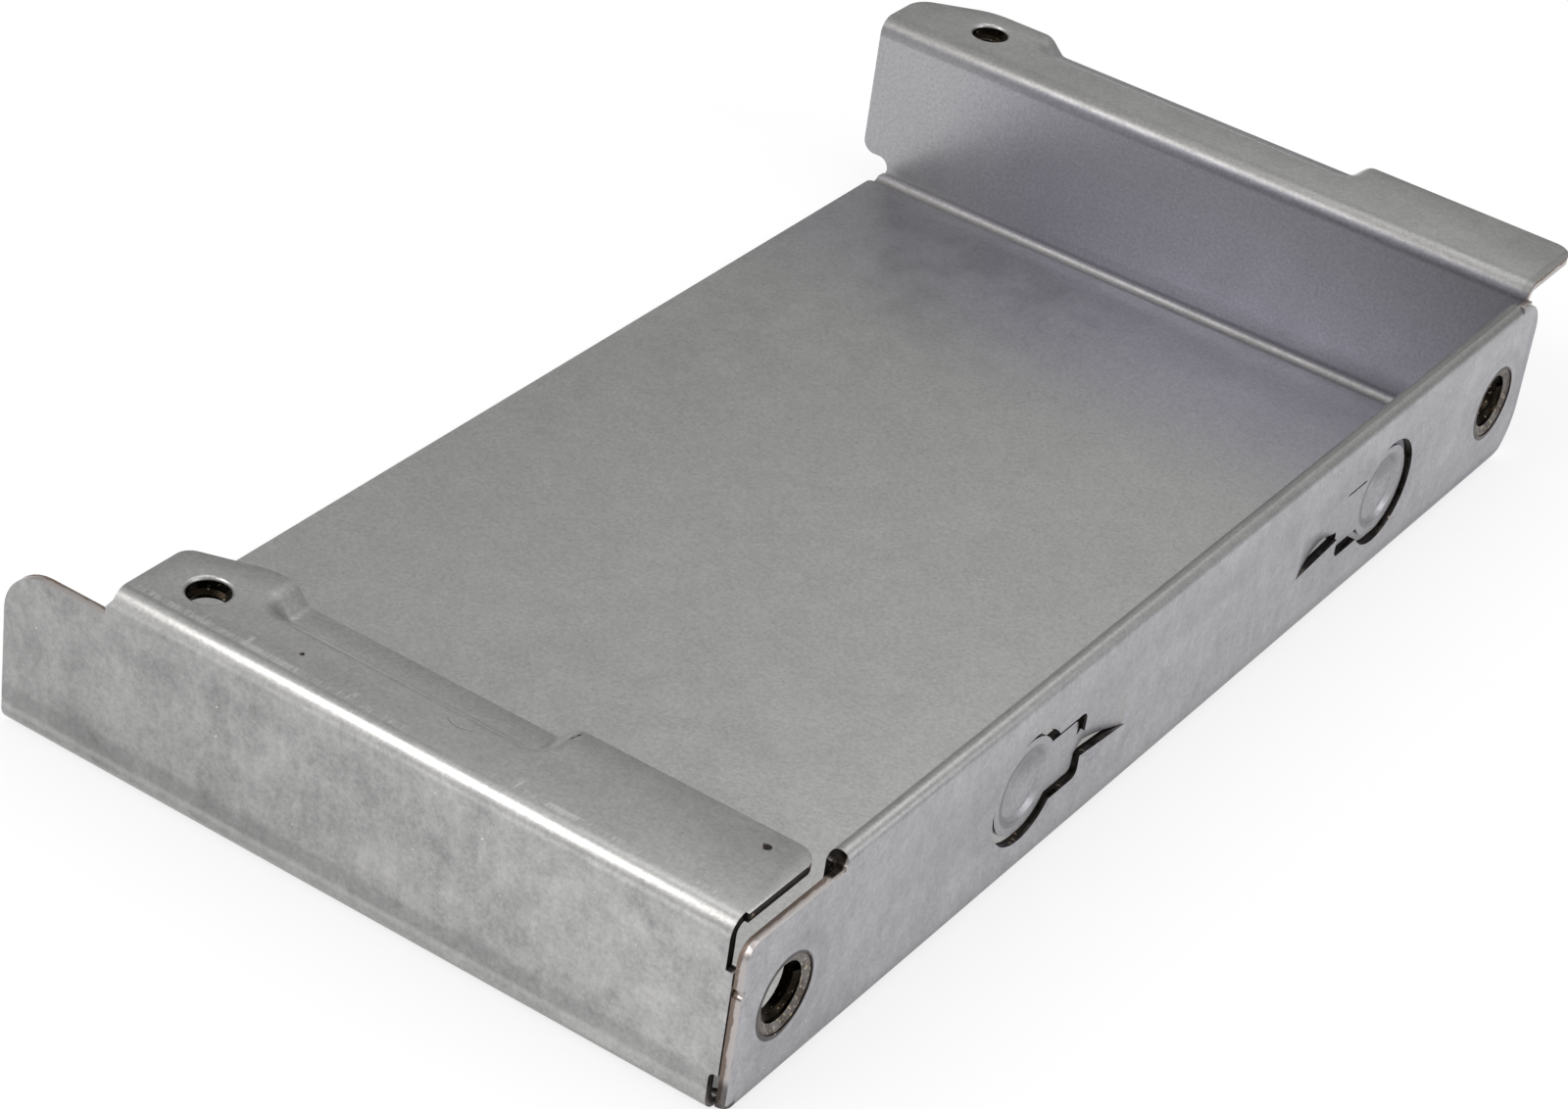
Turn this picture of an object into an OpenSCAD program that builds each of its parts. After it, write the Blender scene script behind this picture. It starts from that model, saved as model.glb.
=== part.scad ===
// Drive bay blank: one sheet of zinc-plated steel, cut flat and folded into a shallow tray.
// The tray is open on its left and above. It stands on its floor, with the front wall towards -Y.

/* [Sheet] */
// Thickness of the sheet
sheet = 0.8; // [0.6:0.05:1]
// Inside radius of every bend
bend_r = 0.8; // [0.5:0.05:1.2]

/* [Tray] */
// Width, from the free left edge of the floor to the outer face of the side wall
tray_w = 70; // [64:0.5:100]
// Depth between the outer faces of the front and back walls
tray_d = 126; // [116:0.5:180]
// Height of the front and back walls, flanges included
wall_h = 17.5; // [17.4:0.1:26]
// Gap between the side wall and the ends of the front and back walls
corner_gap = 0.15; // [0.1:0.05:0.4]

/* [Front wall] */
// Distance of the ear's left edge inside the floor's left edge
ear_inset = 1.1; // [0.4:0.1:3]
// Height of the ear over the tray's underside
ear_h = 15.1; // [12:0.1:15.4]
// Radius of the ear's upper corner
ear_r = 4.2; // [1:0.1:6]
// Radius of the ear's foot
ear_foot_r = 0.8; // [0.4:0.1:1.4]
// Height from which the right end steps back from the side wall
step_back_z = 13.3; // [10:0.1:14.5]
// How far that upper part stands back from the side wall's outer face
step_back = 1.6; // [1.4:0.1:3]
// Height of the slot at the foot of the right end
foot_slot_h = 4; // [3:0.1:6]

/* [Flanges] */
// Depth of the front flange, from the wall's outer face
front_flange_d = 10.65; // [9.6:0.05:14]
// Depth of the back flange, from the wall's inner face
back_flange_d = 9.8; // [9.4:0.05:14]
// Distance of the front flange's left end inside the floor's left edge
front_flange_inset = 11.7; // [11.2:0.1:16]
// How far the back wall and its flange pass the floor's left edge
back_overhang = 1.7; // [0.5:0.1:4]
// Distance of both flanges' right ends from the side wall's outer face
flange_end_gap = 1.3; // [1.1:0.05:4]
// Radius of both flanges' right corners
flange_corner_r = 1.9; // [0.5:0.1:3]
// Radius of the front tab's left corner
front_tab_r = 1.5; // [0.5:0.1:2]
// Radius of the back tab's left corner
back_tab_r = 2.7; // [0.5:0.1:3]
// Length of the slanted end of the front tab
front_slant_l = 6.6; // [4:0.1:7.5]
// How much that slant takes off the front tab
front_slant_d = 2.45; // [0.5:0.05:4]
// Length of the slanted end of the back tab
back_slant_l = 6.7; // [4:0.1:9]
// How much that slant takes off the back tab
back_slant_d = 3.5; // [0.5:0.1:4]
// Radius between the slants and the flanges' long edges
slant_r = 6.5; // [1:0.5:8]
// How much wider the front bend starts on the wall than it ends on the flange
bend_flare = 0.55; // [0.3:0.05:1]

/* [Pressed steps] */
// Depth of the step pressed into the front flange
front_drop = 1.6; // [0.8:0.05:2.4]
// Depth of the step pressed into the back flange
back_drop = 1.6; // [0.8:0.05:2.4]
// Distance of both steps from their bent edge
step_y = 6.3; // [4:0.1:7]
// Length of the front tab, left of the front step
front_tab_l = 8; // [7.8:0.1:14]
// Length of the back tab, left of the back step
back_tab_l = 12.65; // [12.2:0.05:16]
// Distance of the steps' right ends from the side wall's outer face
step_end = 22.8; // [14:0.1:30]
// Inside radius of the steps' bends
step_r = 0.8; // [0.3:0.05:0.9]

/* [Tapped holes] */
// Thread diameter of the hole in each flange
flange_thread_d = 3.5; // [2.5:0.5:4]
// Thread diameter of the two holes in the side wall
side_thread_d = 5; // [4:0.5:6]
// Radius of the drawn-in mouth of the flange holes
flange_mouth_r = 0.35; // [0.2:0.05:0.5]
// Width of the ring coined round the mouth of the side holes
side_ring_w = 0.8; // [0.5:0.05:1]
// Depth of that ring
side_ring_d = 0.1; // [0.05:0.01:0.2]
// Depth of the chamfer inside it
side_mouth_d = 0.35; // [0.2:0.05:0.5]
// Length of the drawn collars, from the sheet's outer face to their rim
collar_l = 1.9; // [1.5:0.1:2.6]
// Wall of the drawn collars
collar_wall = 0.45; // [0.3:0.05:0.7]
// Distance of the front flange hole from the front wall's outer face
front_hole_y = 5.2; // [5:0.05:6]
// Distance of the back flange hole from the back wall's inner face
back_hole_y = 5.7; // [5:0.05:6]
// Distance of the front flange hole from the flange's left end
front_hole_x = 4.95; // [4.2:0.05:5.4]
// Distance of the back flange hole from the flange's left end
back_hole_x = 8.9; // [5:0.1:9.2]
// Height of the side holes
side_hole_z = 8.25; // [7.5:0.05:10]
// Distance of the side holes from the front and the back of the tray
side_hole_y = 6.2; // [5.6:0.1:9]

/* [Side wall] */
// Height of the hem's top
hem_h = 17.15; // [16.6:0.05:17.3]
// Gap inside the hem
hem_gap = 0.15; // [0.1:0.05:0.3]
// Length of the hem's inner leaf below its fold
hem_leaf = 3; // [1.5:0.1:3.2]
// Start of the hem behind the tray's front
hem_start = 12.1; // [11.6:0.1:20]
// End of the hem before the tray's back
hem_end = 3.9; // [3.8:0.1:12]
// Height of the raw top edge in front of the hem
raw_h = 15.9; // [14.6:0.05:15.9]
// Radius of the side wall's upper front corner
side_front_r = 1.5; // [0.8:0.1:2]
// Radius of the side wall's upper back corner
side_back_r = 3.8; // [1:0.1:3.8]
// Radius of the side wall's lower back corner
side_foot_r = 5.6; // [2:0.1:6]
// Radius of the small bite in the side wall's front edge
bite_r = 0.4; // [0.2:0.05:0.6]
// Height of that bite
bite_z = 11.7; // [10:0.1:12.6]

/* [Spring tongues] */
// Distance of the front tongue's round head behind the tray's front
tongue_front_y = 39; // [34:0.1:44]
// Distance of the back tongue's round head before the tray's back
tongue_back_y = 28; // [16:0.1:30]
// Height of the tongues' middle
tongue_z = 8.65; // [8.1:0.05:8.8]
// Radius of a tongue's head
head_r = 4.25; // [3.8:0.05:4.4]
// Width of the slot round a tongue
slot_w = 0.75; // [0.5:0.05:0.9]
// Half width of a tongue's neck
neck_w = 2.4; // [2:0.05:3]
// End of the neck, from the middle of the head
neck_l = 7.6; // [6.5:0.1:8]
// Width of the slot behind the neck
neck_gap = 0.45; // [0.3:0.05:0.8]
// Half width of a tongue's waist
waist_w = 0.85; // [0.6:0.05:1]
// End of the waist, from the middle of the head
waist_l = 9.6; // [9:0.1:10.5]
// Half width of a tongue's root
root_w = 1.9; // [1.7:0.05:2.4]
// Root of a tongue, from the middle of the head
root_l = 15.3; // [13:0.1:16]
// How far a tongue dips inwards at its waist
waist_dip = 0.8; // [0.5:0.05:1.3]
// How far its head and neck stay dipped
head_dip = 0.35; // [0.15:0.05:0.5]
// Radius of the dimple in the head
dimple_r = 3.15; // [2:0.05:3.3]
// Depth of the dimple
dimple_d = 0.9; // [0.6:0.05:1.1]
// Depth of the dimple's steep rim
dimple_rim = 0.35; // [0.15:0.05:0.5]

/* [Hidden] */
$fn = 64;

// Outside radius of a bend, and the slope of the pressed steps
ro = bend_r + sheet;
slope = 45;
half_tan = tan(slope / 2);
arc_steps = 5;
// Cutting tools pass the faces that they cut by this much
over = 1;

// Places along X, measured from the side wall's outer face
ear_x = -tray_w + ear_inset;
front_x = -tray_w + front_flange_inset;
back_x = -tray_w - back_overhang;
end_x = -flange_end_gap;
wall_x = -sheet - corner_gap;
step_x = -step_end;

// Hem section
hem_ro = sheet + hem_gap / 2;
hem_z = hem_h - hem_ro;
hem_back = tray_d - hem_end;

// Relief cuts at the ends of the folds
relief_r = 1.05;
relief_z = ro + 0.55;
bend_end_x = -ro - 0.1;
overhang_z = relief_z + relief_r;
overhang_r = 1.3;
side_bend_y = 1.3;
foot_cut_z = 1.9;
foot_cut_l = 1.3;

// Tongue: end of its level stretch, its deepest place, and the slope of the dimple's rim
level_l = neck_l - 0.6;
deep_l = waist_l + 0.4;
rim_in = 0.4;

// Middle of the outer box, which the origin lies under
mid_x = back_x / 2;
mid_y = (tray_d - sheet + back_flange_d) / 2;

function unit(v) = v / norm(v);

// Lays a flat shape in the YZ plane and draws it out along X
module along_x(x0, x1) {
    translate([x0, 0, 0]) rotate([90, 0, 90]) linear_extrude(x1 - x0) children();
}

// Lays a flat shape in the XZ plane and draws it out along Y
module along_y(y0, y1) {
    translate([0, y1, 0]) rotate([90, 0, 0]) linear_extrude(y1 - y0) children();
}

// Quarter ring of a bend, whose sharp outer corner would be at the origin
module bend() {
    intersection() {
        square(ro);
        translate([ro, ro]) difference() {
            circle(ro);
            circle(bend_r);
        }
    }
}

// What a corner p between the points a and b loses when it is rounded
module corner_loss(p, a, b, r) {
    half = acos(unit(a - p) * unit(b - p)) / 2;
    reach = r / tan(half);
    centre = p + unit(unit(a - p) + unit(b - p)) * r / sin(half);
    ta = p + unit(a - p) * reach;
    tb = p + unit(b - p) * reach;
    difference() {
        polygon([centre, ta, ta + unit(ta - centre), p + unit(p - centre), tb + unit(tb - centre), tb]);
        // A hair larger, so that it crosses both edges cleanly
        translate(centre) circle(r + 0.004);
    }
}

// Rounds a size to a thousandth, so that neighbouring pieces of a step meet exactly
function fine(v) = round(v * 1000) / 1000;

// Cross section of the hollow of a pressed step, from its upper edge at the origin towards +X.
// ru rounds the upper edge and rl the lower one.
function step_side(drop, ru, rl) = concat(
    [for (i = [0 : arc_steps]) let (a = slope * i / arc_steps)
        [fine(ru * (sin(a) - half_tan)), fine(ru * (cos(a) - 1))]],
    [for (i = [arc_steps : -1 : 0]) let (a = slope * i / arc_steps)
        [fine(drop / tan(slope) + rl * (half_tan - sin(a))), fine(rl * (1 - cos(a)) - drop)]]);

// Hollow of a step that is open towards +Y: left and right are its upper edges, front its front one.
// It passes the upper face by top.
module step_hollow(left, right, front, back, drop, corner, ru, rl, top) {
    x0 = fine(left + corner);
    x1 = fine(right - corner);
    y0 = fine(front + corner);
    side = [for (p = step_side(drop, ru, rl)) [fine(corner) - p.x, p.y]];
    edge = concat(top > 0 ? [[side[0].x, top]] : [], side);
    // Straight stretch behind the two rounded corners
    along_y(y0, back) polygon(concat(
        [for (p = edge) [x0 - p.x, p.y]],
        [for (i = [len(edge) - 1 : -1 : 0]) [x1 + edge[i].x, edge[i].y]]));
    // Stretch between the corners
    along_x(x0, x1) polygon(concat([[y0, -drop], [y0, top]], [for (p = edge) [y0 - p.x, p.y]]));
    // The corners themselves
    for (m = [0, 1])
        translate([m == 0 ? x0 : x1, y0, 0])
            rotate_extrude(angle = 90, start = 180 + 90 * m) polygon(concat([[0, -drop], [0, top]], edge));
}

// Flange plate with its pressed step and its drawn hole, top face at z = 0
module stepped_flange(x0, y0, y1, drop, tab_l, tab_r, slant_l, slant_d, hole) {
    step_x0 = x0 + tab_l + drop / 2;
    corner = drop + step_r / 2 + 0.1;
    grow = sheet * half_tan;
    right = [end_x, y1];
    left = [x0, y1 - slant_d];
    slant = [x0 + slant_l, y1];
    difference() {
        intersection() {
            difference() {
                union() {
                    translate([x0 - over, y0, -sheet]) cube([end_x - x0 + 2 * over, y1 - y0 + over, sheet]);
                    translate([0, 0, -sheet])
                        step_hollow(step_x0 - grow, step_x + grow, step_y - grow, y1 + over,
                            drop, corner + grow, step_r, step_r + sheet, 0);
                }
                step_hollow(step_x0, step_x, step_y, y1 + 2 * over, drop, corner,
                    step_r + sheet, step_r, over);
            }
            translate([0, 0, -drop - sheet - over]) linear_extrude(drop + sheet + 2 * over)
                difference() {
                    polygon([[x0, 0], [end_x, 0], right, slant, left]);
                    corner_loss(right, [end_x, 0], slant, flange_corner_r);
                    corner_loss(left, [x0, 0], slant, tab_r);
                    corner_loss(slant, left, right, slant_r);
                }
        }
        translate([x0 + hole.x, hole.y, 0]) flange_bore();
    }
    translate([x0 + hole.x, hole.y, 0]) drawn_collar(flange_thread_d);
}

// What a flange's tapped hole takes out of the sheet, outer face at z = 0
module flange_bore() {
    r = flange_thread_d / 2;
    translate([0, 0, -collar_l - over]) cylinder(r = r, h = collar_l + 2 * over);
    rotate_extrude() difference() {
        translate([0, -flange_mouth_r]) square([r + flange_mouth_r, flange_mouth_r + over]);
        translate([r + flange_mouth_r, -flange_mouth_r]) circle(flange_mouth_r);
    }
}

// The same for a side hole, whose mouth is coined flat and then chamfered
module side_bore() {
    r = side_thread_d / 2;
    translate([0, 0, -collar_l - over]) cylinder(r = r, h = collar_l + 2 * over);
    translate([0, 0, -side_ring_d]) cylinder(r = r + side_ring_w, h = side_ring_d + over);
    translate([0, 0, -side_ring_d - side_mouth_d])
        cylinder(r1 = r, r2 = r + side_ring_w - 0.1, h = side_mouth_d);
}

// Collar that the punch draws down round such a hole
module drawn_collar(thread_d) {
    r = thread_d / 2;
    translate([0, 0, -collar_l]) rotate_extrude() difference() {
        translate([r, 0]) square([collar_wall, collar_l - sheet / 2]);
        translate([r + collar_wall, 0]) rotate(45) square(collar_wall / 2, center = true);
    }
}

// Front wall with its ear on the left, and its foot bend
module front_wall() {
    difference() {
        along_x(ear_x, wall_x) {
            bend();
            translate([0, ro]) square([sheet, wall_h - 2 * ro]);
        }
        along_y(-over, ro + over) {
            // Above the ear
            translate([ear_x - over, ear_h]) square([front_x - bend_flare - ear_x + over, wall_h]);
            corner_loss([ear_x, ear_h], [ear_x, 0], [0, ear_h], ear_r);
            corner_loss([ear_x, 0], [ear_x, ear_h], [0, 0], ear_foot_r);
            // Right end: upper part set back, slot at the foot
            translate([-step_back, step_back_z]) square([step_back, wall_h]);
            translate([bend_end_x, -over]) square([-bend_end_x, foot_slot_h + over - relief_r / 2]);
            translate([bend_end_x + relief_r / 2, foot_slot_h - relief_r / 2]) circle(relief_r / 2);
        }
    }
}

// Front flange, turned back over the tray
module front_flange() {
    difference() {
        along_x(front_x - bend_flare, -max(step_back, flange_end_gap))
            translate([0, wall_h]) mirror([0, 1]) bend();
        // Its left end narrows towards the flange
        along_y(-over, ro + over) polygon([[front_x - bend_flare, wall_h - ro],
            [front_x, wall_h - sheet - 0.05], [front_x, wall_h + over], [front_x - over, wall_h + over],
            [front_x - over, wall_h - ro]]);
    }
    translate([0, 0, wall_h])
        stepped_flange(front_x, ro, front_flange_d, front_drop, front_tab_l, front_tab_r,
            front_slant_l, front_slant_d, [front_hole_x, front_hole_y]);
}

// Back wall, which passes the floor on the left
module back_wall() {
    difference() {
        along_x(back_x, wall_x)
            translate([tray_d, 0]) mirror([1, 0]) {
                bend();
                translate([0, ro]) square([sheet, wall_h - 2 * ro]);
            }
        along_y(tray_d - ro - over, tray_d + over) {
            // Under the overhang, and the round relief beside the bend
            translate([back_x - over, -over])
                square([back_overhang + over + relief_r / 2, overhang_z + over]);
            translate([-tray_w + relief_r / 4, relief_z]) circle(relief_r);
            corner_loss([back_x, overhang_z], [back_x, wall_h], [0, overhang_z], overhang_r);
            translate([bend_end_x, -over]) square([-bend_end_x, foot_slot_h + over]);
        }
    }
}

// Back flange, turned away from the tray
module back_flange() {
    translate([0, tray_d - sheet, 0]) {
        along_x(back_x, end_x) translate([0, wall_h]) mirror([0, 1]) bend();
        translate([0, 0, wall_h])
            stepped_flange(back_x, ro, back_flange_d, back_drop, back_tab_l, back_tab_r,
                back_slant_l, back_slant_d, [back_hole_x, back_hole_y]);
    }
}

// Outline of the side wall, with Y across and Z up
module side_outline() {
    difference() {
        polygon([[0, foot_cut_z], [foot_cut_l, 0], [tray_d, 0], [tray_d, hem_h], [hem_back, hem_h],
            [hem_back, hem_z], [hem_start, hem_z], [hem_start, raw_h], [0, raw_h]]);
        corner_loss([0, raw_h], [0, 0], [hem_start, raw_h], side_front_r);
        corner_loss([tray_d, hem_h], [tray_d, 0], [hem_back, hem_h], side_back_r);
        corner_loss([tray_d, 0], [tray_d, hem_h], [0, 0], side_foot_r);
        translate([0, bite_z]) circle(bite_r);
    }
}

// Half ring and inner leaf of the hem, with the distance from the outer face across and Z up
module hem_section() {
    translate([hem_ro, hem_z]) intersection() {
        difference() {
            circle(hem_ro);
            circle(hem_gap / 2);
        }
        translate([-hem_ro, 0]) square([2 * hem_ro, hem_ro]);
    }
    translate([sheet + hem_gap, hem_z - hem_leaf]) square([sheet, hem_leaf]);
}

// Side wall with its foot bend and hem
module side_wall() {
    difference() {
        union() {
            intersection() {
                union() {
                    translate([-sheet, 0, ro]) cube([sheet, tray_d, hem_h - ro]);
                    along_y(side_bend_y, tray_d - ro) mirror([1, 0]) bend();
                }
                along_x(-ro - over, over) side_outline();
            }
            difference() {
                along_y(hem_start, hem_back) mirror([1, 0]) hem_section();
                // The hem's front end is cut round
                along_x(-2 * hem_ro - over, over)
                    translate([hem_start - relief_r, hem_h]) circle(relief_r * 1.4);
            }
        }
        for (m = [0, 1]) side_place(m, tongue_of(m)) along_x(-ro, over) tongue_opening();
        for (m = [0, 1]) side_place(m, [side_hole_y, side_hole_z])
            rotate([0, 90, 0]) side_bore();
    }
    for (m = [0, 1]) side_place(m, tongue_of(m)) tongue();
    for (m = [0, 1]) side_place(m, [side_hole_y, side_hole_z])
        rotate([0, 90, 0]) drawn_collar(side_thread_d);
}

// Middle of a tongue's head, from the nearer end of the tray
function tongue_of(m) = [m == 0 ? tongue_front_y : tongue_back_y, tongue_z];

// Puts its children at a place on the side wall, counted from the front, or mirrored at the back
module side_place(m, at) {
    translate([0, m * tray_d, 0]) mirror([0, m, 0]) translate([0, at.x, at.y]) children();
}

// Slot and tongue together, with the head at the origin and the root towards +X
module tongue_opening() {
    shoulder = neck_l + neck_gap;
    circle(head_r + slot_w);
    difference() {
        translate([0, -neck_w - slot_w]) square([shoulder, 2 * (neck_w + slot_w)]);
        for (s = [-1, 1]) corner_loss([shoulder, s * (neck_w + slot_w)], [shoulder, 0],
            [0, s * (neck_w + slot_w)], slot_w);
    }
    polygon([[0, waist_w + slot_w / 2], [shoulder, waist_w + slot_w / 2], [root_l, root_w],
        [root_l, -root_w], [shoulder, -waist_w - slot_w / 2], [0, -waist_w - slot_w / 2]]);
}

// Outline of the tongue alone
module tongue_outline() {
    circle(head_r);
    difference() {
        translate([0, -neck_w]) square([neck_l, 2 * neck_w]);
        for (s = [-1, 1]) corner_loss([neck_l, s * neck_w], [neck_l, 0], [0, s * neck_w], slot_w);
    }
    polygon([[0, waist_w], [waist_l, waist_w], [root_l, root_w], [root_l + sheet, root_w],
        [root_l + sheet, -root_w], [root_l, -root_w], [waist_l, -waist_w], [0, -waist_w]]);
}

// How far the tongue's outer face lies inside the wall's, at a distance from its head's middle
function tongue_dip(s) = s < level_l ? head_dip
    : s < deep_l
        ? head_dip + (waist_dip - head_dip) * (1 - cos(180 * (s - level_l) / (deep_l - level_l))) / 2
        : waist_dip * sin(90 * max(0, root_l - s) / (root_l - deep_l));

// Tongue bent inwards, with a round dimple pressed into its head
module tongue() {
    path = concat([-head_r - over],
        [for (i = [0 : 8]) level_l + (deep_l - level_l) * i / 8],
        [for (i = [1 : 8]) deep_l + (root_l - deep_l) * i / 8], [root_l + sheet]);
    cap_r = dimple_r - rim_in;
    cap_d = dimple_d - dimple_rim;
    ball_r = (cap_r * cap_r + cap_d * cap_d) / (2 * cap_d);
    difference() {
        union() {
            intersection() {
                translate([0, 0, -head_r - over]) linear_extrude(2 * (head_r + over)) polygon(concat(
                    [for (s = path) [-tongue_dip(s), s]],
                    [for (i = [len(path) - 1 : -1 : 0]) [-tongue_dip(path[i]) - sheet, path[i]]]));
                along_x(-waist_dip - 2 * sheet, over) tongue_outline();
            }
            // Back of the dimple
            translate([-head_dip, 0, 0]) rotate([0, 90, 0]) intersection() {
                translate([0, 0, ball_r - dimple_d]) sphere(ball_r + sheet);
                translate([0, 0, -dimple_d - 2 * sheet])
                    cylinder(r = dimple_r, h = dimple_d + 2 * sheet - sheet / 2 - dimple_rim / 2);
            }
        }
        translate([-head_dip, 0, 0]) rotate([0, 90, 0]) {
            intersection() {
                translate([0, 0, ball_r - dimple_d]) sphere(ball_r);
                translate([0, 0, -dimple_d - over]) cylinder(r = dimple_r, h = cap_d + over);
            }
            translate([0, 0, -dimple_rim]) cylinder(r1 = cap_r + 0.05, r2 = dimple_r, h = dimple_rim);
            cylinder(r = dimple_r, h = over);
        }
    }
}

// Floor of the tray
module floor_plate() {
    difference() {
        translate([-tray_w, ro, 0]) cube([tray_w - ro, tray_d - 2 * ro, sheet]);
        translate([0, 0, -over]) linear_extrude(sheet + 2 * over) {
            translate([-tray_w, ro]) circle(relief_r);
            translate([bend_end_x, side_bend_y]) circle(relief_r);
            corner_loss([-tray_w, tray_d - ro], [-tray_w, 0], [0, tray_d - ro], relief_r / 2);
        }
    }
}

module folded_blank() {
    color([0.66, 0.67, 0.68]) translate([-mid_x, -mid_y, 0]) {
        floor_plate();
        front_wall();
        front_flange();
        back_wall();
        back_flange();
        side_wall();
    }
}

folded_blank();
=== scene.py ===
import math

import bmesh
import bpy
from mathutils import Matrix, Vector
from mathutils.bvhtree import BVHTree


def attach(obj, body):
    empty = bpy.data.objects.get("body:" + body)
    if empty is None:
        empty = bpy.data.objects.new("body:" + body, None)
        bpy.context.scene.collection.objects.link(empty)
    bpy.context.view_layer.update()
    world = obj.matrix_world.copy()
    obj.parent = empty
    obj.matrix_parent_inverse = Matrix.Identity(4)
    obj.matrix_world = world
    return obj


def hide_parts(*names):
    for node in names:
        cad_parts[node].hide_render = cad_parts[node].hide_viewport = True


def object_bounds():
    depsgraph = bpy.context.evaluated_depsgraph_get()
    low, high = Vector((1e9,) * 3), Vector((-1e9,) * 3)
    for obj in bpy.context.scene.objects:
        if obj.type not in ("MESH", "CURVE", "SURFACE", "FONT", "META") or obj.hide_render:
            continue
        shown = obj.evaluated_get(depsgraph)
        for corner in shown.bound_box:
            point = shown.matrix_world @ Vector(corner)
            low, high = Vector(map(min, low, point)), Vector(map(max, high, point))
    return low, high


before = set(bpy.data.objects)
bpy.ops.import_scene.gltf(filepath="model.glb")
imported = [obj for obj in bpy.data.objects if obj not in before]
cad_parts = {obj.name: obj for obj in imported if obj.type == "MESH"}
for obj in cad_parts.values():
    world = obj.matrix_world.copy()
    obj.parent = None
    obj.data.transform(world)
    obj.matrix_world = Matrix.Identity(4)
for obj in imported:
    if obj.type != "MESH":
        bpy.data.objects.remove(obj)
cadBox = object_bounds()
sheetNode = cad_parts["folded_blank"]
mm = 0.001

# The sheet's own corner: side wall's outer face, front wall's outer face, underside
cornerPoint = Vector((35.85, -67.5, 0)) * mm


def onSheet(x, y, z):
    return cornerPoint + Vector((x, y, z)) * mm


# Places on the sheet, in millimetres from its corner
sheetPlan = {
    "thickness": 0.8,
    "top": 17.5,              # upper face of both flanges
    "sideHoles": (6.2, 119.8),
    "sideHoleHeight": 8.25,
    "flangeHoles": ((-53.35, 5.2), (-62.8, 130.9)),
    "tongueHeads": (39.0, 98.0),
    "tongueMiddles": (42.5, 94.5),
    "tongueHeight": 8.65,
    "tongueDeepest": (-3.0, -2.6),
    "edgeRound": 0.06,        # width of the small bevel along the sheared edges
    "welded": 0.002,          # points nearer than this are one point
    "flatWithin": 0.4,        # degrees between faces that are joined
    "rimOver": 60.0,          # degrees at an edge that gets the bevel
    "sideUnder": 55.0,        # degrees at an edge that one side of the sheet goes on over
    "smoothUnder": 35.0,      # degrees at an edge that is shaded smooth
}

# Threads: radius at the root and at the tip, pitch, and where they run below the hole's mouth
sideThread = {"axis": Vector((1, 0, 0)), "root": 2.5, "tip": 2.08, "pitch": 0.80, "low": -1.86, "high": -0.46}
flangeThread = {"axis": Vector((0, 0, 1)), "root": 1.75, "tip": 1.40, "pitch": 0.79, "low": -1.86, "high": -0.36}
drawnHoles = [(onSheet(0, y, sheetPlan["sideHoleHeight"]), sideThread) for y in sheetPlan["sideHoles"]]
drawnHoles += [(onSheet(x, y, sheetPlan["top"]), flangeThread) for x, y in sheetPlan["flangeHoles"]]


def makeObject(name, mesh, *materials):
    obj = bpy.data.objects.new(name, mesh)
    bpy.context.scene.collection.objects.link(obj)
    for material in materials:
        mesh.materials.append(material)
    return obj


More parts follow.
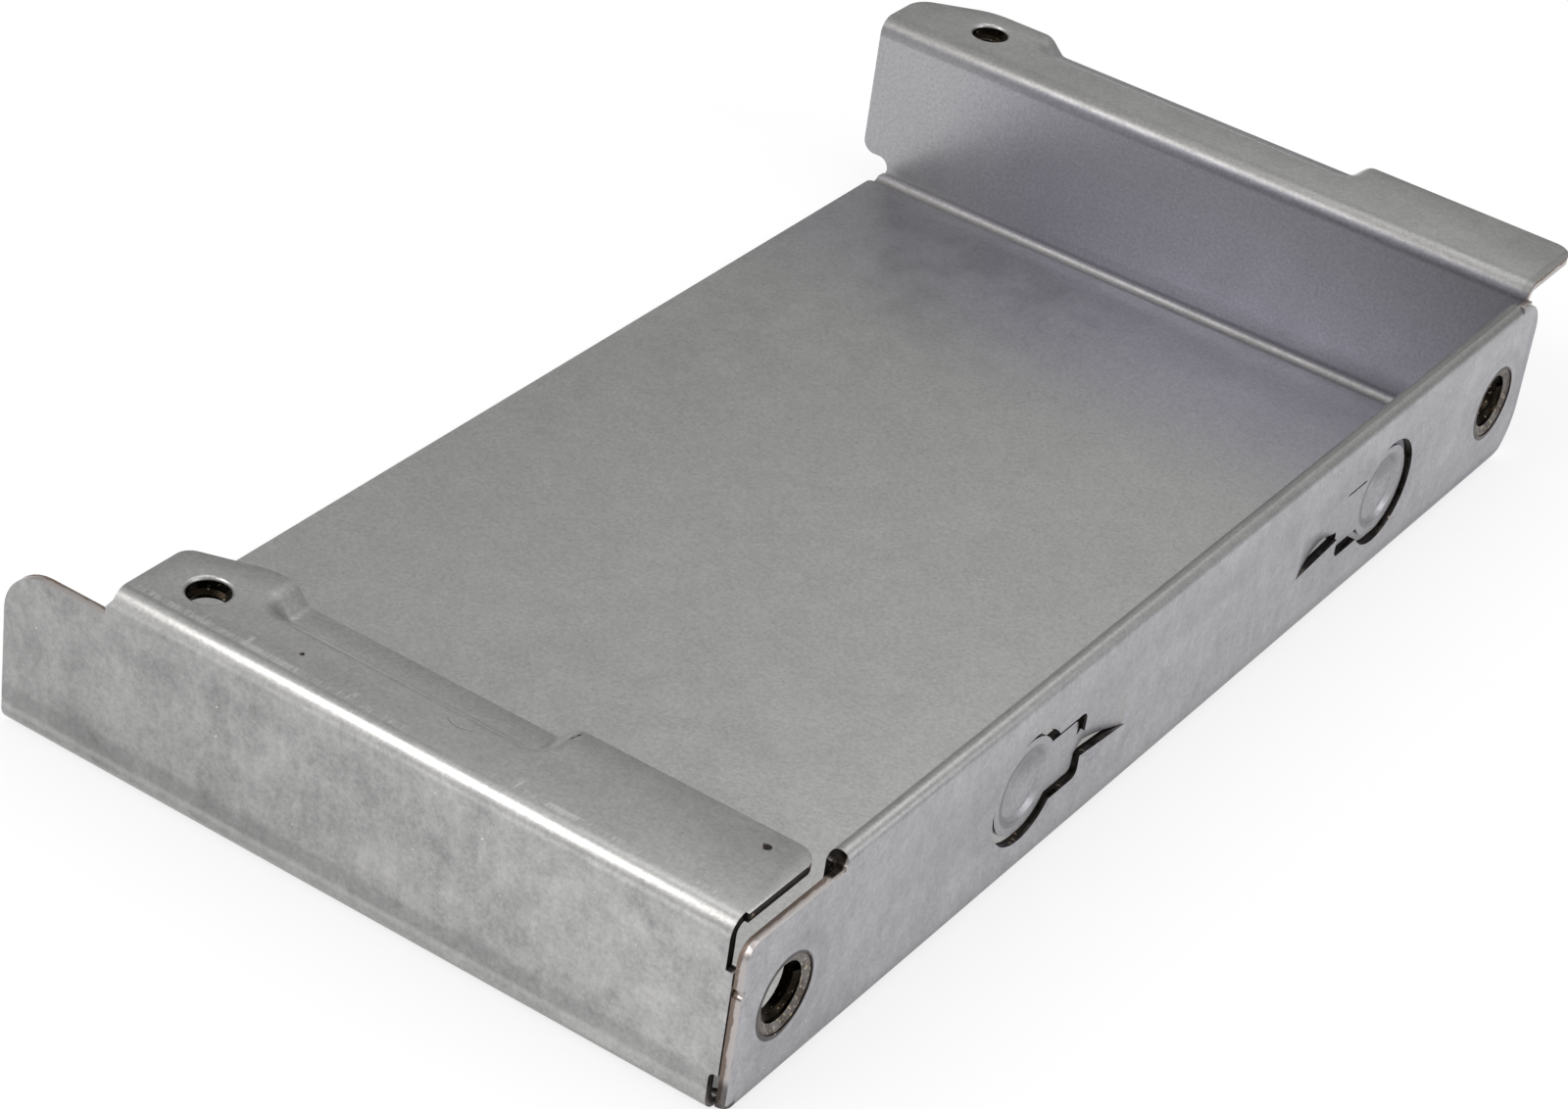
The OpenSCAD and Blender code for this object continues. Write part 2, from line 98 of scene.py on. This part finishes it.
# Node helpers that every finish uses
class Graph:
    def __init__(self, name):
        self.material = bpy.data.materials.new(name)
        self.material.use_nodes = True
        self.tree = self.material.node_tree
        self.shader = self.tree.nodes["Principled BSDF"]
        self.place = self.add("ShaderNodeTexCoord").outputs["Object"]

    def set(self, socket, value):
        if isinstance(value, bpy.types.NodeSocket):
            self.tree.links.new(value, socket)
        else:
            socket.default_value = value

    def add(self, kind, inputs=None, **settings):
        node = self.tree.nodes.new(kind)
        for key, value in settings.items():
            setattr(node, key, value)
        for key, value in (inputs or {}).items():
            self.set(node.inputs[key], value)
        return node

    def math(self, operation, a, b=0.0, clamp=False):
        return self.add("ShaderNodeMath", {0: a, 1: b}, operation=operation, use_clamp=clamp).outputs[0]

    def times(self, first, *others):
        for other in others:
            first = self.math("MULTIPLY", first, other)
        return first

    def plus(self, first, *others):
        for other in others:
            first = self.math("ADD", first, other)
        return first

    def most(self, first, *others):
        for other in others:
            first = self.math("MAXIMUM", first, other)
        return first

    def minus(self, a, b):
        return self.math("SUBTRACT", a, b)

    def away(self, value, middle):
        return self.math("ABSOLUTE", self.minus(value, middle))

    def vector(self, operation, a, b):
        node = self.add("ShaderNodeVectorMath", {0: a, 1: b}, operation=operation)
        return node.outputs["Value" if operation == "DISTANCE" else "Vector"]

    def stretch(self, scale):
        return self.vector("MULTIPLY", self.place, scale)

    def reach(self, x, y, z):           # millimetres from a place on the sheet
        return self.times(self.vector("DISTANCE", self.place, tuple(onSheet(x, y, z))), 1000.0)

    def millimetres(self):
        near = self.add("ShaderNodeSeparateXYZ", {0: self.vector("SUBTRACT", self.place, tuple(cornerPoint))})
        return (self.times(near.outputs[i], 1000.0) for i in range(3))

    def noise(self, scale, detail, roughness, vector=None, distortion=0.0):
        return self.add("ShaderNodeTexNoise", {"Vector": vector or self.place, "Scale": scale, "Detail": detail,
                        "Roughness": roughness, "Distortion": distortion}).outputs["Fac"]

    def ramp(self, value, low, high, start=0.0, end=1.0):
        return self.add("ShaderNodeMapRange", {"Value": value, "From Min": low, "From Max": high,
                        "To Min": start, "To Max": end}, interpolation_type="SMOOTHSTEP").outputs["Result"]

    def fall(self, value, low, high):   # one below low, nothing above high
        return self.ramp(value, low, high, 1.0, 0.0)

    def near(self, value, middle, inner, outer):
        return self.fall(self.away(value, middle), inner, outer)

    def between(self, value, low, high):
        return self.times(self.ramp(value, *low), self.fall(value, *high))

    def mix(self, factor, first, second, blend="MIX"):
        node = self.add("ShaderNodeMix", {"Factor": factor}, data_type="RGBA", blend_type=blend)
        self.set(node.inputs[6], first)
        self.set(node.inputs[7], second)
        return node.outputs[2]

    def bump(self, height, distance, strength, normal=None):
        inputs = {"Height": height, "Distance": distance * mm, "Strength": strength}
        if normal is not None:
            inputs["Normal"] = normal
        return self.add("ShaderNodeBump", inputs).outputs["Normal"]

    def finish(self, colour, roughness, normal=None, metallic=1.0, specular=0.5):
        self.set(self.shader.inputs["Base Color"], colour)
        self.set(self.shader.inputs["Roughness"], roughness)
        if normal is not None:
            self.set(self.shader.inputs["Normal"], normal)
        self.shader.inputs["Metallic"].default_value = metallic
        self.shader.inputs["Specular IOR Level"].default_value = specular
        return self.material


# Zinc plated face of the sheet
zincLook = {
    "dark": (0.200, 0.199, 0.197, 1),
    "light": (0.610, 0.607, 0.600, 1),
    # multiplies in a painted cool tint on the side wall, the tongues and the back wall's inner face
    "bluish": (0.985, 0.975, 1.025, 1),
    # colours of the painted shade near the front bend and the front wall's foot, and of the brownish painted shade
    # along the side wall's foot
    "shade": (0.13, 0.13, 0.13, 1),
    "footShade": (0.14, 0.125, 0.12, 1),
    # colour of the scuffs, also used for a painted highlight along the front wall's crease
    "scuffAndSheen": (0.70, 0.70, 0.71, 1),
    "scratch": (0.12, 0.12, 0.12, 1),
    "speck": (0.8, 0.8, 0.8, 1),
    "pit": (0.035, 0.025, 0.02, 1),
    # colour of the painted shade round the side holes' collars and in the tongues' dishes
    "rimShade": (0.16, 0.155, 0.16, 1),
    # colour that makes the side holes' mouths darker and browner
    "mouthDark": (0.085, 0.068, 0.058, 1),
    "fleck": (0.60, 0.50, 0.36, 1),
    "cloudScale": 260.0,      # clouds of the plating, about 4 mm across
    "flakeScale": 900.0,      # smaller patches in them
    "grainScale": 3000.0,     # fine grain, a third of a millimetre
    "grainAmount": 0.62,
    "cloudOnWall": 0.85,      # strength of the clouds on the front wall, the side wall and elsewhere
    "cloudOnSide": 0.58,
    "cloudElsewhere": 0.10,
    "roughness": (0.36, 0.44),
    "spikes": (-51.0, -47.0, -37.2, -22.0),     # places of the longer scuffs along the front bend
    "pits": ((-4.7, 8.7, 0.30), (-43.1, 3.8, 0.13)),        # place on the front flange and radius
    # strength of the painted cool tint on the back wall and the plate's far end
    "farBlue": 0.08,
}


# Painted shade and highlight, and by how much: painted shade on the back wall's foot and top bends, the hem's top, the
# back wall and the plate's far end, with a painted cool tint on the last two; a painted highlight on the front top
# bend; the front wall darker towards its left end. The back bends are also rougher.
def shadeAndHighlight(g, x, y, z, onWall):
    footBend = g.times(g.between(y, (124.0, 124.5), (125.3, 125.5)), g.fall(z, 1.5, 2.0))
    topBend = g.times(g.between(y, (125.0, 125.2), (125.9, 127.6)), g.ramp(z, 15.6, 16.0))
    nearBend = g.times(g.fall(y, 0.9, 1.5), g.ramp(z, 15.9, 16.4))
    hemTop = g.times(g.ramp(x, -2.2, -1.9), g.ramp(z, 16.3, 16.7), g.ramp(y, 11.2, 11.8))
    farWall = g.times(g.between(y, (125.0, 125.2), (125.4, 125.6)), g.ramp(x, -64.0, -50.0))
    farPlate = g.times(g.between(y, (96.0, 118.0), (124.2, 124.5)), g.fall(z, 1.5, 2.0))
    toRight = g.minus(g.ramp(x, -66.0, -4.0, 0.85, 1.08), 1.0)
    # painted highlight on the front top bend, and the front wall darker towards its left end
    level = g.plus(g.times(onWall, toRight), 1.0, g.times(nearBend, 0.42))
    # painted shade on the back bends, the hem's top, the back wall and the plate's far end
    for strip, less in ((footBend, 0.28), (topBend, 0.22), (hemTop, 0.18), (farWall, 0.17), (farPlate, 0.14)):
        level = g.times(level, g.minus(1.0, g.times(strip, less)))
    # painted cool tint on the back wall and the plate's far end
    bluer = g.times(level, g.plus(g.times(g.plus(farWall, farPlate), zincLook["farBlue"]), 1.0))
    tint = g.add("ShaderNodeCombineXYZ", {0: level, 1: level, 2: bluer}).outputs[0]
    return tint, g.plus(g.times(footBend, 0.14), g.times(topBend, 0.08))


# Scuffs just behind the front bend: short strokes across a narrow band, and a few spikes
def bendScuffs(g, x, y, onTop):
    strokes = g.noise(1.0, 3.0, 0.6, g.stretch((5200.0, 700.0, 700.0)))
    drift = g.times(g.minus(g.noise(160.0, 2.0, 0.5), 0.5), 1.6)
    band = g.times(g.near(y, 1.85, 0.14, 0.48), onTop)
    worn = g.times(band, g.ramp(g.plus(strokes, drift), 0.42, 0.68, 0.06, 0.62))
    for middle in zincLook["spikes"]:
        spike = g.times(g.near(x, middle, 0.05, 0.5), g.near(y, 2.3, 0.3, 0.9), onTop)
        worn = g.most(worn, g.times(spike, g.ramp(strokes, 0.46, 0.60, 0.0, 0.7)))
    return worn


# Round the side holes: the ring that the punch left, painted shade in a band round each drawn collar, stronger behind
# it, and a darker, browner mouth with gold flecks inside a thin dark line
def holeMarksAndShade(g, y, onSide, flake, grain, colour):
    look = zincLook
    ring = 0.0
    for along in sheetPlan["sideHoles"]:
        reach = g.reach(0, along, sheetPlan["sideHoleHeight"])
        ring = g.plus(g.near(reach, 5.05, 0.05, 0.32), ring)
        # painted shade round the drawn collar, stronger behind the hole
        behind = g.ramp(g.minus(y, along), -3.0, 5.0, 0.25, 1.0)
        rimShade = g.times(g.near(reach, 4.6, 0.2, 1.0), behind, onSide)
        colour = g.mix(g.times(rimShade, 0.22), colour, look["rimShade"])
        mouth = g.fall(reach, 3.28, 3.36)
        colour = g.mix(g.times(mouth, g.ramp(flake, 0.35, 0.62, 0.65, 0.96)), colour, look["mouthDark"])
        colour = g.mix(g.times(mouth, g.ramp(grain, 0.57, 0.67, 0.0, 0.8)), colour, look["fleck"])
        rim = g.ramp(behind, 0.3, 0.9, 3.64, 3.38)
        outline = g.times(g.ramp(reach, 3.15, 3.26), g.fall(g.minus(reach, rim), 0.0, 0.14))
        colour = g.mix(g.times(outline, g.ramp(flake, 0.30, 0.60, 1.0, 0.82)), colour, look["pit"])
    return colour, ring


# Painted shade in the dish of each tongue: darker at the top and in a thin line round its near half
def dishShade(g, y, z, onTongue, colour):
    height = sheetPlan["tongueHeight"]
    for along in sheetPlan["tongueHeads"]:
        nearHalf = g.fall(g.plus(g.minus(y, along), g.times(z, -0.4)), -4.4, 0.0)
        rim = g.times(g.near(g.reach(-0.9, along, height), 3.35, 0.10, 0.42), nearHalf, 0.62)
        shadow = g.times(g.fall(g.reach(-1.2, along + 1.2, height + 1.55), 0.4, 2.3), 0.42)
        colour = g.mix(g.times(g.most(rim, shadow), onTongue), colour, zincLook["rimShade"])
    return colour


# Pits, a curved scratch and the crack at the pressed step's right end
def flangeMarks(g, x, y, z, onTop, flake, grain, colour):
    look = zincLook
    for along, back, radius in look["pits"]:
        reach = g.plus(g.reach(along, back, sheetPlan["top"]), g.times(g.minus(grain, 0.5), 0.45))
        colour = g.mix(g.fall(reach, radius, radius + 0.16), colour, look["pit"])
    scratch = g.times(g.near(g.reach(-29.4, 6.4, sheetPlan["top"]), 1.75, 0.0, 0.09), g.fall(y, 4.9, 5.1), onTop)
    colour = g.mix(g.times(scratch, 0.45), colour, look["scratch"])
    slope = g.plus(x, g.times(g.minus(y, 9.6), -0.28), 22.45)
    crack = g.times(g.near(slope, 0.0, 0.03, 0.15), g.near(y, 9.7, 0.3, 0.75), g.ramp(z, 16.0, 16.4))
    colour = g.mix(g.times(crack, g.ramp(flake, 0.35, 0.55)), colour, look["pit"])
    return colour, scratch


# Where the tongues are, with some of the side wall round them
def roundTongues(g, x, y, z, height):
    places = 0.0
    for middle in sheetPlan["tongueMiddles"]:
        alongIt = g.near(y, middle, 9.0, 12.5)
        places = g.plus(g.times(alongIt, g.near(z, sheetPlan["tongueHeight"], *height),
                                g.ramp(x, *sheetPlan["tongueDeepest"])), places)
    return places


def zincPlate():
    look = zincLook
    g = Graph("zincPlate")
    x, y, z = g.millimetres()
    onWall = g.fall(y, 0.02, 0.15)
    onSide = g.ramp(x, -0.15, -0.02)
    onTop = g.ramp(z, 17.3, 17.45)
    onTongue = roundTongues(g, x, y, z, (4.4, 5.2))
    behindWall = g.times(g.ramp(y, 124.9, 125.1), g.fall(z, 16.6, 17.0))

    cloud = g.noise(look["cloudScale"], 4.0, 0.6, distortion=0.3)
    flake = g.noise(look["flakeScale"], 3.0, 0.65, g.stretch((1.0, 1.0, 0.6)))
    grain = g.noise(look["grainScale"], 2.0, 0.75)
    amount = g.plus(g.times(onWall, look["cloudOnWall"]), g.times(onSide, look["cloudOnSide"]), look["cloudElsewhere"])
    mottle = g.plus(g.times(g.minus(cloud, 0.5), 0.9), g.times(g.minus(flake, 0.5), 0.55))
    tone = g.plus(0.5, g.times(mottle, amount), g.times(g.minus(grain, 0.5), look["grainAmount"]))
    colour = g.mix(g.math("MAXIMUM", tone, 0.0, clamp=True), look["dark"], look["light"])
    # painted cool tint on the side wall, the tongues and the back wall's inner face
    colour = g.mix(g.most(onSide, onTongue, behindWall), colour, look["bluish"], "MULTIPLY")
    tint, duller = shadeAndHighlight(g, x, y, z, onWall)
    colour = g.mix(1.0, colour, tint, "MULTIPLY")
    rough = g.plus(g.ramp(cloud, 0.3, 0.7, *look["roughness"]), duller, g.times(onTongue, 0.10))

    worn = bendScuffs(g, x, y, onTop)
    colour = g.mix(worn, colour, look["scuffAndSheen"])

    # Painted shade where the front bend begins and along both feet, browner along the side wall's foot, and a thin
    # painted highlight along a crease on the front one, whose ridge is also in the bump
    shade = g.times(g.near(y, 1.10, 0.20, 0.50), g.ramp(z, 16.9, 17.2), 0.34)
    foot = g.times(g.near(z, 3.1, 0.5, 1.25), onWall, 0.26)
    colour = g.mix(g.plus(shade, foot), colour, look["shade"])
    sideFoot = g.times(g.fall(z, 0.5, 2.6), g.ramp(x, -0.9, -0.6))
    colour = g.mix(g.times(sideFoot, g.ramp(cloud, 0.3, 0.7, 0.30, 0.50)), colour, look["footShade"])
    shine = g.times(g.near(z, g.plus(2.15, g.times(x, 0.004)), 0.05, 0.42), onWall)
    colour = g.mix(g.times(shine, 0.16), colour, look["scuffAndSheen"])

    colour, ring = holeMarksAndShade(g, y, onSide, flake, grain, colour)
    colour = dishShade(g, y, z, onTongue, colour)
    colour, scratch = flangeMarks(g, x, y, z, onTop, flake, grain, colour)

    # Specks where the plating is knocked
    speck = g.times(g.ramp(g.noise(1900.0, 1.0, 0.5), 0.800, 0.83), g.plus(onWall, onSide))
    colour = g.mix(speck, colour, look["speck"])

    normal = g.bump(grain, 0.02, 0.75)
    normal = g.bump(g.times(mottle, g.math("MINIMUM", amount, 0.6)), 0.10, 0.22, normal)
    marks = g.plus(g.times(shine, 0.7), g.times(ring, -0.6), g.times(worn, -0.5), g.times(scratch, -1.0))
    normal = g.bump(marks, 0.05, 0.5, normal)
    return g.finish(colour, rough, normal)


# Sheared edge of the sheet: burnished next to one face, torn and brown next to the other
edgeLook = {
    "burnished": (0.47, 0.435, 0.425, 1),
    "torn": (0.235, 0.185, 0.158, 1),
    "fleck": (0.62, 0.50, 0.36, 1),
    # colour of the painted shade on the cut edges
    "hollowShade": (0.012, 0.010, 0.008, 1),
    "share": 0.60,            # part of the thickness that is burnished
    "roughness": (0.34, 0.60),
}


# Painted shade in the tongues' slots, in the corner reliefs and at the ends of the flange and the hem, nearly black at
# the flange's end
def edgeShade(g, x, y, z, patch):
    slots = roundTongues(g, x, y, z, (5.2, 5.8))
    footSlot = g.times(g.fall(y, 2.2, 3.0), g.fall(z, 3.2, 4.2), 0.8)
    hemEnd = g.times(g.near(y, 12.0, 1.1, 1.5), g.ramp(z, 14.4, 14.8), g.fall(x, -0.35, -0.2))
    flangeEnd = g.times(g.fall(y, 10.8, 11.2), g.ramp(z, 13.0, 13.4), g.near(x, -1.5, 0.3, 0.55))
    hollowShade = g.times(g.plus(slots, footSlot, hemEnd), g.ramp(patch, 0.30, 0.62, 1.0, 0.88))
    return g.most(hollowShade, g.times(flangeEnd, 0.97))


def shearedEdge():
    look = edgeLook
    g = Graph("shearedEdge")
    x, y, z = g.millimetres()
    across = g.add("ShaderNodeAttribute", attribute_name="acrossSheet").outputs["Fac"]
    grain = g.noise(4200.0, 3.0, 0.7)
    patch = g.noise(700.0, 2.0, 0.6)
    depth = g.plus(across, g.times(g.minus(patch, 0.5), 0.7))
    torn = g.ramp(depth, look["share"] - 0.08, look["share"] + 0.10)
    colour = g.mix(torn, look["burnished"], look["torn"])
    colour = g.mix(g.ramp(grain, 0.60, 0.74, 0.0, 0.8), colour, look["fleck"])
    # painted shade on the cut edges, with gold flecks left in it
    hollowShade = edgeShade(g, x, y, z, patch)
    colour = g.mix(hollowShade, colour, look["hollowShade"])
    colour = g.mix(g.times(hollowShade, g.ramp(patch, 0.63, 0.69), g.ramp(grain, 0.45, 0.62)), colour, look["fleck"])
    return g.finish(colour, g.ramp(torn, 0.0, 1.0, *look["roughness"]), g.bump(grain, 0.05, 0.6))


# Cut thread: bare steel dark with oil, with bright glints on its crests
threadLook = {
    "oil": (0.012, 0.009, 0.006, 1),
    "steel": (0.62, 0.56, 0.44, 1),
    "roughness": (0.18, 0.42),
}


def cutThread():
    g = Graph("cutThread")
    grain = g.noise(2600.0, 3.0, 0.65)
    colour = g.mix(g.ramp(grain, 0.64, 0.76), threadLook["oil"], threadLook["steel"])
    rough = g.ramp(grain, 0.3, 0.7, *threadLook["roughness"])
    return g.finish(colour, rough, g.bump(grain, 0.04, 0.4))


# Distance of a point from a hole's axis, and along the axis from its mouth, in millimetres
def holeReach(point, centre, thread):
    away = (point - centre) / mm
    along = away.dot(thread["axis"])
    return (away - thread["axis"] * along).length, along


def inBore(face):
    for centre, thread in drawnHoles:
        radius, along = holeReach(face.calc_center_median(), centre, thread)
        if radius < thread["root"] + 0.1 and -2.0 < along < thread["high"] + 0.05:
            if abs(face.normal.dot(thread["axis"])) < 0.3:
                return True
    return False


def atMouth(point):
    for centre, thread in drawnHoles:
        radius, along = holeReach(point, centre, thread)
        if radius < thread["root"] + 0.9 and -0.5 < along < 0.1:
            return True
    return False


def onDimple(point):
    for along in sheetPlan["tongueHeads"]:
        away = (point - onSheet(0, along, sheetPlan["tongueHeight"])) / mm
        if math.hypot(away.y, away.z) < 3.3 and -2.6 < away.x < 0.1:
            return True
    return False


def atHemEnd(point, normal):
    place = (point - cornerPoint) / mm
    inside = 10.4 < place.y < 13.4 and place.z > 13.5 and -1.8 < place.x < 0
    return inside and normal.y < -0.15 and abs(normal.x) < 0.3


zincFace, cutFace, boreFace = 0, 1, 2


# Groups of plated faces that meet smoothly; the two largest are the sheet's two sides
def platedSides(bm):
    limit = math.radians(sheetPlan["sideUnder"])
    left = {face for face in bm.faces if face.material_index == zincFace}
    groups = []
    while left:
        stack = [left.pop()]
        group = []
        while stack:
            face = stack.pop()
            group.append(face)
            for edge in face.edges:
                if len(edge.link_faces) == 2 and edge.calc_face_angle(9) < limit:
                    for other in edge.link_faces:
                        if other in left:
                            left.remove(other)
                            stack.append(other)
        groups.append(group)
    groups.sort(key=lambda group: -sum(face.calc_area() for face in group))
    print("sheet: plated groups", [len(group) for group in groups[:6]], "of", len(groups))
    return groups[:2]


def sideTree(group):
    corners, faces = [], []
    for face in group:
        first = len(corners)
        corners += [vert.co.copy() for vert in face.verts]
        faces.append(tuple(range(first, len(corners))))
    return BVHTree.FromPolygons(corners, faces)


# The folded sheet, dressed on a copy of the CAD's mesh
def dressSheet():
    plan = sheetPlan
    welded = plan["welded"] * mm
    bm = bmesh.new()
    bm.from_mesh(sheetNode.data)
    bmesh.ops.remove_doubles(bm, verts=bm.verts, dist=welded)
    bmesh.ops.dissolve_degenerate(bm, dist=welded / 2, edges=bm.edges)
    bm.normal_update()
    tree = BVHTree.FromBMesh(bm)
    for face in bm.faces:
        middle = face.calc_center_median()
        reach = tree.ray_cast(middle - face.normal * welded, -face.normal)[3]
        cut = reach is None or reach > plan["thickness"] * 1.35 * mm
        if atMouth(middle) or onDimple(middle):
            cut = False
        if atHemEnd(middle, face.normal):
            cut = True
        face.material_index = boreFace if inBore(face) else (cutFace if cut else zincFace)
    outer, inner = (sideTree(group) for group in platedSides(bm))

    bmesh.ops.dissolve_limit(bm, angle_limit=math.radians(plan["flatWithin"]), verts=bm.verts, edges=bm.edges,
                             delimit={"MATERIAL"})
    rims = [edge for edge in bm.edges if len(edge.link_faces) == 2 and edge.is_convex
            and edge.calc_face_angle(0) > math.radians(plan["rimOver"])
            and cutFace in [face.material_index for face in edge.link_faces]]
    bmesh.ops.bevel(bm, geom=rims, offset=plan["edgeRound"] * mm, offset_type="OFFSET", affect="EDGES",
                    segments=2, profile=0.5, material=-1, clamp_overlap=True)
    bmesh.ops.triangulate(bm, faces=[face for face in bm.faces if len(face.verts) > 4])
    bm.normal_update()
    print("sheet: bevelled", len(rims), "edges,", len(bm.faces), "faces")

    layer = bm.verts.layers.float.new("acrossSheet")
    for vert in bm.verts:
        vert.co = [min(max(value, low), high) for value, low, high in zip(vert.co, *cadBox)]
        near, far = outer.find_nearest(vert.co)[3], inner.find_nearest(vert.co)[3]
        vert[layer] = near / max(near + far, 1e-9)
    limit = math.radians(plan["smoothUnder"])
    for edge in bm.edges:
        edge.smooth = len(edge.link_faces) == 2 and edge.calc_face_angle(0) < limit
    for face in bm.faces:
        face.smooth = True
    mesh = bpy.data.meshes.new("foldedSheet")
    bm.to_mesh(mesh)
    bm.free()
    return mesh


zinc, sheared, thread = zincPlate(), shearedEdge(), cutThread()
foldedSheet = makeObject("foldedSheet", dressSheet(), zinc, sheared, thread)
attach(foldedSheet, "root")
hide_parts("folded_blank")


# Helical ridges inside the four drawn holes
ridgePlan = {
    "halfWidth": 0.42,        # share of the pitch
    "sunk": 0.03,             # how far the ridge stands in the bore's wall
    "stepsPerTurn": 56,
}


def cutThreads():
    for number, (centre, screw) in enumerate(drawnHoles):
        bm = bmesh.new()
        axis = screw["axis"]
        side = axis.orthogonal().normalized()
        half = screw["pitch"] * ridgePlan["halfWidth"]
        rise = screw["high"] - screw["low"] - 2 * half
        start = centre + axis * (screw["low"] + half) * mm
        foot = side * (screw["root"] + ridgePlan["sunk"]) * mm
        corners = [start + foot - axis * half * mm, start + side * screw["tip"] * mm, start + foot + axis * half * mm]
        face = bm.faces.new([bm.verts.new(point) for point in corners])
        turns = rise / screw["pitch"]
        steps = int(ridgePlan["stepsPerTurn"] * turns)
        bmesh.ops.spin(bm, geom=[face, *face.edges, *face.verts], cent=centre, axis=axis,
                       dvec=axis * rise / steps * mm, angle=2 * math.pi * turns, steps=steps,
                       use_merge=False, use_duplicate=False)
        bmesh.ops.recalc_face_normals(bm, faces=bm.faces)
        mesh = bpy.data.meshes.new("threadRidge%d" % (number + 1))
        bm.to_mesh(mesh)
        bm.free()
        ridge = makeObject(mesh.name, mesh, thread)
        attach(ridge, "root")


cutThreads()
print("threads cut")


# Floor, light and camera
studio = {
    "floor": (0.86, 0.86, 0.86, 1),
    "floorHalf": 6.0,         # metres from the middle to the floor's edge
    "floorGlow": 0.78,        # share of plain white that the camera sees in the floor
    "floorShine": 0.39,       # the same share as metal shows it
    "world": (0.58, 0.58, 0.595, 1),
    "seen": (  # the room as metal shows it, from the horizon to straight above
        (0.0, 0.46), (0.40, 0.37), (0.56, 0.75), (0.74, 0.72), (0.88, 0.40), (1.0, 0.36)),
    "lamps": (  # name, place, size, power, colour; each is aimed at the middle
        ("keyLamp", (-0.50, -0.75, 0.95), (0.9, 0.5), 8.0, (1, 0.99, 0.97)),
        ("sideLamp", (1.1, 0.2, 0.55), (0.6, 0.6), 3.4, (0.95, 0.96, 1)),
        ("topLamp", (0.1, 0.25, 1.3), (0.9, 0.9), 5.0, (1, 1, 1)),
    ),
}


def makeFloor():
    bm = bmesh.new()
    bmesh.ops.create_grid(bm, x_segments=1, y_segments=1, size=studio["floorHalf"])
    mesh = bpy.data.meshes.new("floor")
    bm.to_mesh(mesh)
    bm.free()
    g = Graph("floorPaper")
    g.finish(studio["floor"], 0.9, metallic=0.0, specular=0.1)
    glow = g.add("ShaderNodeEmission", {"Color": (1, 1, 1, 1), "Strength": 1.0})
    path = g.add("ShaderNodeLightPath").outputs
    shine = g.times(g.math("MAXIMUM", path["Is Glossy Ray"], path["Is Transmission Ray"]), studio["floorShine"])
    seen = g.math("MAXIMUM", g.times(path["Is Camera Ray"], studio["floorGlow"]), shine)
    both = g.add("ShaderNodeMixShader", {0: seen, 1: g.shader.outputs[0], 2: glow.outputs[0]})
    g.tree.links.new(both.outputs[0], g.tree.nodes["Material Output"].inputs["Surface"])
    makeObject("floor", mesh, g.material)


def makeWorld():
    world = bpy.data.worlds.new("studio")
    bpy.context.scene.world = world
    world.use_nodes = True
    tree = world.node_tree

    def background(colour):
        node = tree.nodes.new("ShaderNodeBackground")
        node.inputs["Color"].default_value = colour
        return node.outputs[0]

    def choose(factor, first, second):
        node = tree.nodes.new("ShaderNodeMixShader")
        for socket, value in zip(node.inputs, (factor, first, second)):
            tree.links.new(value, socket)
        return node.outputs[0]

    way = tree.nodes.new("ShaderNodeSeparateXYZ")
    tree.links.new(tree.nodes.new("ShaderNodeTexCoord").outputs["Generated"], way.inputs[0])
    fade = tree.nodes.new("ShaderNodeValToRGB")
    while len(fade.color_ramp.elements) < len(studio["seen"]):
        fade.color_ramp.elements.new(0.5)
    for stop, (height, level) in zip(fade.color_ramp.elements, studio["seen"]):
        stop.position, stop.color = height, (level, level, level * 0.985, 1)
    tree.links.new(way.outputs["Z"], fade.inputs[0])
    room = background((1, 1, 1, 1))
    tree.links.new(fade.outputs["Color"], room.node.inputs["Color"])

    path = tree.nodes.new("ShaderNodeLightPath").outputs
    shown = choose(path["Is Glossy Ray"], background(studio["world"]), room)
    for ray in ("Is Transmission Ray", "Is Camera Ray"):
        shown = choose(path[ray], shown, background((1, 1, 1, 1)))
    tree.links.new(shown, tree.nodes["World Output"].inputs["Surface"])


def makeLamps():
    for name, place, size, power, colour in studio["lamps"]:
        lamp = bpy.data.lights.new(name, "AREA")
        lamp.shape = "RECTANGLE"
        lamp.size, lamp.size_y = size
        lamp.energy = power
        lamp.color = colour
        obj = bpy.data.objects.new(name, lamp)
        obj.location = place
        obj.rotation_euler = (-Vector(place)).to_track_quat("-Z", "Y").to_euler()
        bpy.context.scene.collection.objects.link(obj)


cameraPlan = {
    "place": (0.14801, -0.26620, 0.19709),
    "right": (0.817522, 0.562393, 0.123986),
    "up": (-0.397072, 0.394513, 0.82867),
    "lens": 97.01,
    "sensor": 36.0,
    "clip": (0.01, 20.0),
}


def makeCamera():
    camera = bpy.data.cameras.new("camera")
    camera.sensor_width = cameraPlan["sensor"]
    camera.lens = cameraPlan["lens"]
    camera.clip_start, camera.clip_end = cameraPlan["clip"]
    obj = bpy.data.objects.new("camera", camera)
    right, up = Vector(cameraPlan["right"]), Vector(cameraPlan["up"])
    turn = Matrix((right, up, right.cross(up))).transposed().to_4x4()
    obj.matrix_world = Matrix.Translation(cameraPlan["place"]) @ turn
    bpy.context.scene.collection.objects.link(obj)
    bpy.context.scene.camera = obj


makeFloor()
makeWorld()
makeLamps()
makeCamera()
bpy.context.scene.view_settings.view_transform = "Standard"
print("studio ready")
